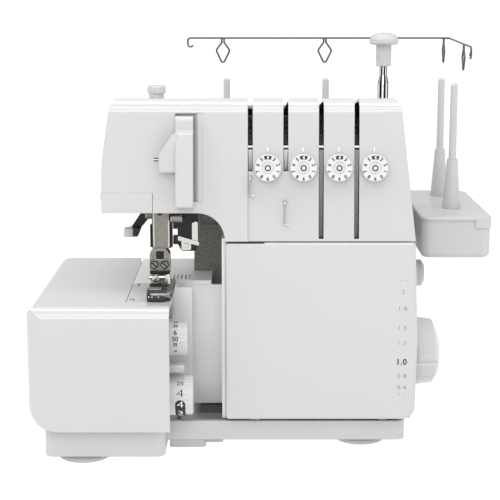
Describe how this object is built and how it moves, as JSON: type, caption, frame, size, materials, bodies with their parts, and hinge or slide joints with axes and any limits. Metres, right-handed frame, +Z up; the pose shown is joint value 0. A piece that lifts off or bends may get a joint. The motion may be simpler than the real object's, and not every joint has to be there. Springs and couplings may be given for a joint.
{
  "type": "overlock sewing machine",
  "caption": "Tabletop overlock sewing machine with a swing-away cloth plate, drop-down looper cover, tension dials, thread stand and telescopic thread guide.",
  "frame": {"origin": "on the table, under the middle of the machine's box", "axes": "+X to the operator's right, +Y to the back, +Z up; the operator sits at -Y"},
  "size_m": [0.336, 0.234, 0.2916],
  "materials": {
    "white_plastic": "glossy",
    "grey_plastic": "matte",
    "black_plastic": "matte",
    "steel": "brushed",
    "bright_steel": "polished",
    "dark_steel": "satin",
    "cast_frame": "cast",
    "bronze": "satin",
    "rubber": "matte"
  },
  "bodies": {
    "base": {"base_pan": "white_plastic", "feet": "rubber", "main_frame": "cast_frame", "bed_frame": "cast_frame", "front_panel": "white_plastic", "face_cover": "white_plastic", "rear_housing": "white_plastic", "throat_panel": "grey_plastic", "inner_panel": "white_plastic", "needle_plate": "steel", "rear_bed_plate": "white_plastic", "hinge_pins": "steel", "take_up_cover": "white_plastic", "lifter_bracket": "steel", "lower_knife": "steel", "shaft_bushes": "bronze", "motor": "steel", "drive_belt": "rubber", "power_inlet": "black_plastic", "tension_discs": "bright_steel", "tension_base": "black_plastic", "needle_thread_guides": "bright_steel", "spool_tray": "white_plastic", "spool_stand": "white_plastic", "spool_pins": "white_plastic", "tree_tube": "bright_steel", "presser_spring": "steel"},
    "cloth_cover": {"cloth_plate": "white_plastic"},
    "front_cover": {"looper_cover": "white_plastic"},
    "drive_shaft": {"main_shaft": "steel", "handwheel": "white_plastic"},
    "motor_rotor": {"motor_pulley": "steel"},
    "rocker": {"rocker_shaft": "steel"},
    "rod": {"connecting_rod": "steel"},
    "needle_unit": {"needle_bar": "steel", "needle_clamp": "steel", "needle_screws": "bright_steel", "needles": "bright_steel"},
    "presser": {"presser_bar": "steel", "presser_foot": "steel", "presser_toe": "black_plastic"},
    "lifter": {"presser_lifter": "bright_steel"},
    "pressure_screw": {"pressure_knob": "white_plastic"},
    "knife": {"knife_arm": "dark_steel", "knife_clamp": "bright_steel"},
    "lower_looper_body": {"lower_looper": "steel"},
    "upper_looper_body": {"upper_looper": "steel"},
    "feed_front": {"feed_dog_front": "steel"},
    "feed_rear": {"feed_dog_rear": "steel"},
    "diff_dial": {"differential_dial": "white_plastic"},
    "width_dial": {"stitch_width_dial": "white_plastic"},
    "selector_dial": {"stitch_selector_dial": "white_plastic"},
    "release_tab": {"knife_release_tab": "white_plastic"},
    "switch": {"power_switch": "black_plastic"},
    "dial_1": {"tension_dial_1": "white_plastic"},
    "dial_2": {"tension_dial_2": "white_plastic"},
    "dial_3": {"tension_dial_3": "white_plastic"},
    "dial_4": {"tension_dial_4": "white_plastic"},
    "thread_tree": {"tree_rod": "white_plastic", "tree_wire": "bright_steel"}
  },
  "joints": [
    {"name": "handwheel_turn", "type": "hinge", "parent": "base", "child": "drive_shaft", "pos_m": [0.1, 0.022, 0.107], "axis": [1, 0, 0], "continuous": true},
    {"name": "motor_turn", "type": "hinge", "parent": "base", "child": "motor_rotor", "pos_m": [0.085, 0.022, 0.048], "axis": [1, 0, 0], "continuous": true},
    {"name": "rocker_turn", "type": "hinge", "parent": "base", "child": "rocker", "pos_m": [-0.07, -0.003, 0.218], "axis": [-1, 0, 0], "range_deg": [0, 24]},
    {"name": "rod_turn", "type": "hinge", "parent": "rocker", "child": "rod", "pos_m": [-0.038, 0.01461, 0.22174], "axis": [-1, 0, 0], "range_deg": [-24, 0]},
    {"name": "needle_bar_slide", "type": "slide", "parent": "base", "child": "needle_unit", "axis": [0, 0, 1], "range_m": [0, 0.02597]},
    {"name": "presser_foot_lift", "type": "slide", "parent": "base", "child": "presser", "axis": [0, 0, 1], "range_m": [0, 0.006]},
    {"name": "lifter_turn", "type": "hinge", "parent": "base", "child": "lifter", "pos_m": [-0.087, -0.024, 0.168], "axis": [0, 1, 0], "range_deg": [0, 35]},
    {"name": "pressure_knob_turn", "type": "hinge", "parent": "base", "child": "pressure_screw", "pos_m": [-0.081, -0.046, 0.252], "axis": [0, 0, 1], "range_deg": [-180, 180]},
    {"name": "knife_slide", "type": "slide", "parent": "base", "child": "knife", "axis": [0, 0, 1], "range_m": [-0.006, 0.004]},
    {"name": "lower_looper_turn", "type": "hinge", "parent": "base", "child": "lower_looper_body", "pos_m": [-0.112, -0.06, 0.066], "axis": [0, 1, 0], "range_deg": [-5, 4]},
    {"name": "upper_looper_turn", "type": "hinge", "parent": "base", "child": "upper_looper_body", "pos_m": [-0.134, -0.07, 0.072], "axis": [0, 1, 0], "range_deg": [-5, 4]},
    {"name": "feed_front_slide", "type": "slide", "parent": "base", "child": "feed_front", "axis": [0, 1, 0], "range_m": [-0.002, 0.002]},
    {"name": "feed_rear_slide", "type": "slide", "parent": "base", "child": "feed_rear", "axis": [0, 1, 0], "range_m": [-0.002, 0.002]},
    {"name": "differential_dial_turn", "type": "hinge", "parent": "base", "child": "diff_dial", "pos_m": [0.11, -0.043, 0.063], "axis": [1, 0, 0], "range_deg": [-40, 60]},
    {"name": "stitch_width_dial_turn", "type": "hinge", "parent": "base", "child": "width_dial", "pos_m": [-0.07, -0.083, 0.083], "axis": [1, 0, 0], "range_deg": [-90, 90]},
    {"name": "stitch_selector_dial_turn", "type": "hinge", "parent": "base", "child": "selector_dial", "pos_m": [-0.07, -0.083, 0.042], "axis": [1, 0, 0], "range_deg": [-90, 90]},
    {"name": "release_tab_push", "type": "slide", "parent": "base", "child": "release_tab", "axis": [-1, 0, 0], "range_m": [0, 0.003]},
    {"name": "power_switch_rock", "type": "hinge", "parent": "base", "child": "switch", "pos_m": [0.0987, 0.023, 0.05], "axis": [0, 1, 0], "range_deg": [-5, 0]},
    {"name": "thread_tree_slide", "type": "slide", "parent": "base", "child": "thread_tree", "axis": [0, 0, 1], "range_m": [0, 0.1]},
    {"name": "cloth_plate_swing", "type": "hinge", "parent": "base", "child": "cloth_cover", "pos_m": [-0.1515, 0.04, 0.06], "axis": [0, 0, -1], "range_deg": [0, 80]},
    {"name": "looper_cover_open", "type": "hinge", "parent": "base", "child": "front_cover", "pos_m": [0.03, -0.079, 0.028], "axis": [1, 0, 0], "range_deg": [0, 85]},
    {"name": "tension_dial_1_turn", "type": "hinge", "parent": "base", "child": "dial_1", "pos_m": [-0.0022, -0.07536, 0.2035], "axis": [0, -0.9939, 0.1099], "range_deg": [-135, 135]},
    {"name": "tension_dial_2_turn", "type": "hinge", "parent": "base", "child": "dial_2", "pos_m": [0.0225, -0.07536, 0.2035], "axis": [0, -0.9939, 0.1099], "range_deg": [-135, 135]},
    {"name": "tension_dial_3_turn", "type": "hinge", "parent": "base", "child": "dial_3", "pos_m": [0.0472, -0.07536, 0.2035], "axis": [0, -0.9939, 0.1099], "range_deg": [-135, 135]},
    {"name": "tension_dial_4_turn", "type": "hinge", "parent": "base", "child": "dial_4", "pos_m": [0.0719, -0.07536, 0.2035], "axis": [0, -0.9939, 0.1099], "range_deg": [-135, 135]}
  ],
  "couplings": [
    {"joint": "motor_turn", "follows": "handwheel_turn", "ratio": 3},
    {"joint": "needle_bar_slide", "follows": "rocker_turn", "m_per_rad": 0.062},
    {"joint": "rod_turn", "follows": "rocker_turn", "ratio": -1},
    {"joint": "lifter_turn", "follows": "presser_foot_lift", "rad_per_m": 101.81},
    {"joint": "feed_rear_slide", "follows": "feed_front_slide", "ratio": 1}
  ]
}
